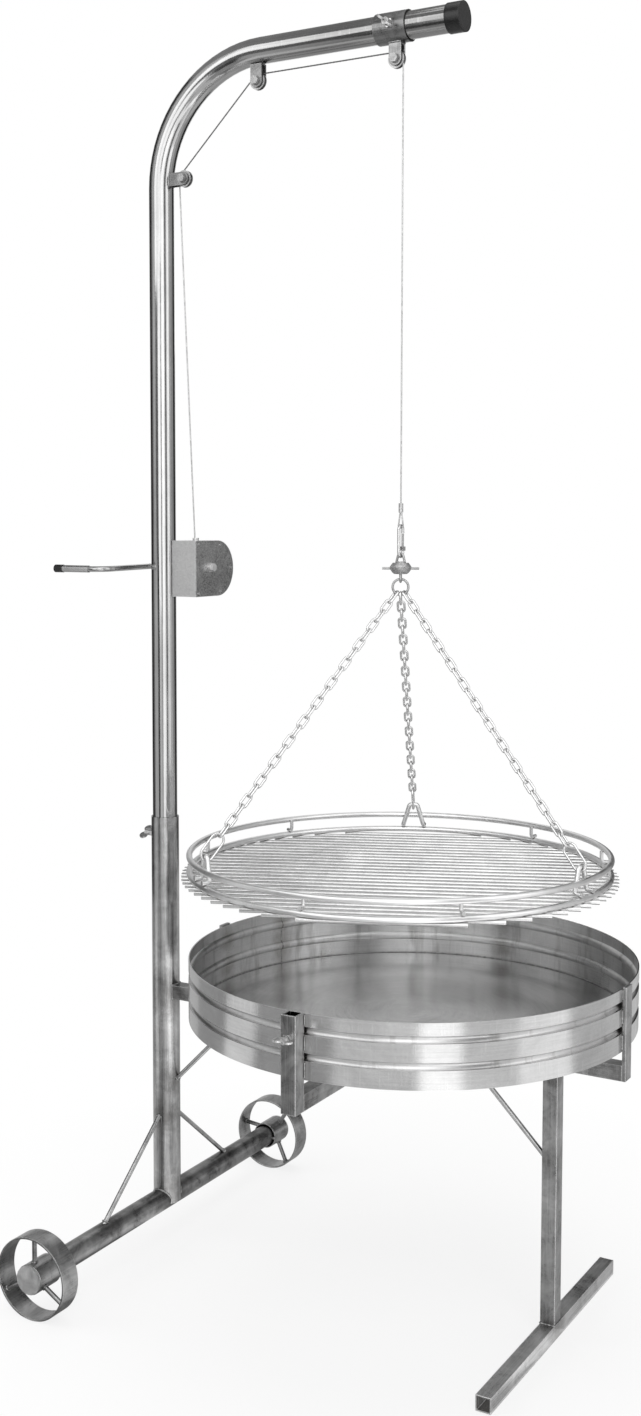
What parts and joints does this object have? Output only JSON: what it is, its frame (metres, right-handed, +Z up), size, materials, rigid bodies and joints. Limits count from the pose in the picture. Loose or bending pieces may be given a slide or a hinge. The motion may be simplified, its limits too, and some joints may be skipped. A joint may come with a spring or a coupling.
{
  "type": "swivel grill",
  "caption": "Wheeled swivel grill: a fire pan on a tube frame, and a round grate hung by chains and cable from a bent mast that turns, with a crank winch that lifts it.",
  "frame": {"origin": "centre of the foot bar's underside, on the floor", "axes": "+Z up; +X from the mast towards the foot bar, along the main beam; +Y to the far wheel"},
  "size_m": [1.0445, 0.8122, 2.137],
  "materials": {
    "stainless": "brushed",
    "frame_steel": "mill, dull",
    "pan_sheet": "rolled sheet",
    "grate_rod": "polished rod",
    "zinc_sheet": "galvanised, mottled",
    "zinc_hardware": "bright zinc plated",
    "wire_rope": "stranded",
    "black_plastic": "matte",
    "brake_lining": "matte"
  },
  "bodies": {
    "frame": {"foot_bar": "frame_steel", "leg": "frame_steel", "main_beam": "frame_steel", "cross_beams": "frame_steel", "socket_post": "frame_steel", "pan_straps": "frame_steel", "sleeve": "stainless", "mast_stop": "stainless", "beam_braces": "frame_steel", "axle_braces": "frame_steel", "pan_wall": "pan_sheet", "pan_floor": "pan_sheet", "axle_tube": "frame_steel", "axle_stop_pins": "zinc_hardware", "axle_end_discs": "stainless", "frame_nuts": "zinc_hardware"},
    "near_wheel_body": {"near_wheel": "stainless"},
    "far_wheel_body": {"far_wheel": "stainless"},
    "sleeve_clamp": {"sleeve_wing_bolt": "zinc_hardware"},
    "socket_clamp": {"post_wing_bolt": "zinc_hardware"},
    "mast": {"mast_tube": "stainless", "arm_cap": "black_plastic", "mast_brackets": "stainless", "pulley_bolts": "zinc_hardware", "winch_back_plate": "zinc_sheet", "winch_cover": "zinc_sheet", "winch_shell": "zinc_sheet", "winch_rivets": "zinc_hardware", "winch_bushes": "zinc_hardware", "winch_brake": "brake_lining", "cable_mast_run": "wire_rope"},
    "mast_pulley": {"mast_sheave": "zinc_hardware"},
    "arm_pulley": {"arm_sheave": "zinc_hardware"},
    "crank": {"crank_shaft": "stainless", "crank_arm": "stainless", "crank_knob": "black_plastic", "drum": "zinc_sheet", "cable_winding": "wire_rope"},
    "crank_handle": {"crank_grip": "stainless"},
    "slider": {"collar": "stainless", "collar_nut": "zinc_hardware", "slider_bracket": "stainless", "slider_bolt": "zinc_hardware", "cable_arm_run": "wire_rope"},
    "collar_clamp": {"collar_wing_bolt": "zinc_hardware"},
    "slider_pulley": {"slider_sheave": "zinc_hardware"},
    "lift": {"cable_drop": "wire_rope", "cable_end": "wire_rope", "snap_hook": "zinc_hardware", "swivel_top": "zinc_hardware"},
    "hook_gate": {"snap_gate": "zinc_hardware"},
    "grate": {"swivel_bottom": "zinc_hardware", "swivel_bar": "zinc_hardware", "chain_ring": "zinc_hardware", "chains": "zinc_hardware", "end_links": "zinc_hardware", "grate_rings": "grate_rod", "grate_bars": "grate_rod", "grate_bows": "grate_rod", "grate_posts": "grate_rod"}
  },
  "joints": [
    {"name": "near_wheel_spin", "type": "hinge", "parent": "frame", "child": "near_wheel_body", "pos_m": [-0.76, -0.367, 0.06985], "axis": [0, 1, 0], "continuous": true},
    {"name": "far_wheel_spin", "type": "hinge", "parent": "frame", "child": "far_wheel_body", "pos_m": [-0.76, 0.367, 0.06985], "axis": [0, 1, 0], "continuous": true},
    {"name": "sleeve_bolt_turn", "type": "hinge", "parent": "frame", "child": "sleeve_clamp", "pos_m": [-0.79, 0, 0.748], "axis": [-1, 0, 0], "range_deg": [0, 360]},
    {"name": "socket_bolt_turn", "type": "hinge", "parent": "frame", "child": "socket_clamp", "pos_m": [-0.2545, -0.403, 0.564], "axis": [0, -1, 0], "range_deg": [0, 360]},
    {"name": "mast_swivel", "type": "hinge", "parent": "frame", "child": "mast", "pos_m": [-0.76, 0, 0.782], "axis": [0, 0, 1], "continuous": true},
    {"name": "mast_sheave_turn", "type": "hinge", "parent": "mast", "child": "mast_pulley", "pos_m": [-0.70975, 0, 1.915], "axis": [0, 1, 0], "continuous": true},
    {"name": "arm_sheave_turn", "type": "hinge", "parent": "mast", "child": "arm_pulley", "pos_m": [-0.557, 0, 2.062], "axis": [0, 1, 0], "continuous": true},
    {"name": "crank_turn", "type": "hinge", "parent": "mast", "child": "crank", "pos_m": [-0.76, 0.038, 1.234], "axis": [1, 0, 0], "range_deg": [-275, 1115]},
    {"name": "grip_spin", "type": "hinge", "parent": "crank", "child": "crank_handle", "pos_m": [-0.875, -0.10699, 1.23198], "axis": [1, 0, 0], "continuous": true},
    {"name": "slider_slide", "type": "slide", "parent": "mast", "child": "slider", "axis": [1, 0, 0], "range_m": [-0.025, 0.06], "deforming": ["cable_arm_run"]},
    {"name": "collar_bolt_turn", "type": "hinge", "parent": "slider", "child": "collar_clamp", "pos_m": [-0.2915, -0.035, 2.112], "axis": [0, -1, 0], "range_deg": [0, 360]},
    {"name": "slider_sheave_turn", "type": "hinge", "parent": "slider", "child": "slider_pulley", "pos_m": [-0.2915, 0, 2.062], "axis": [0, 1, 0], "continuous": true},
    {"name": "lift_slide", "type": "slide", "parent": "slider", "child": "lift", "axis": [0, 0, 1], "range_m": [-0.11, 0.45], "deforming": ["cable_drop"]},
    {"name": "gate_swing", "type": "hinge", "parent": "lift", "child": "hook_gate", "pos_m": [-0.28, 0.007, 1.27313], "axis": [1, 0, 0], "range_deg": [0, 20], "stiffness_Nm_per_rad": 0.03, "springref_deg": -11.46},
    {"name": "grate_spin", "type": "hinge", "parent": "lift", "child": "grate", "pos_m": [-0.28, 0, 1.2424], "axis": [0, 0, 1], "continuous": true}
  ],
  "couplings": [
    {"joint": "crank_turn", "follows": "lift_slide", "rad_per_m": 43.011},
    {"joint": "mast_sheave_turn", "follows": "lift_slide", "rad_per_m": -86.957},
    {"joint": "arm_sheave_turn", "follows": "lift_slide", "rad_per_m": -86.957},
    {"joint": "slider_sheave_turn", "follows": "lift_slide", "rad_per_m": -86.957}
  ]
}
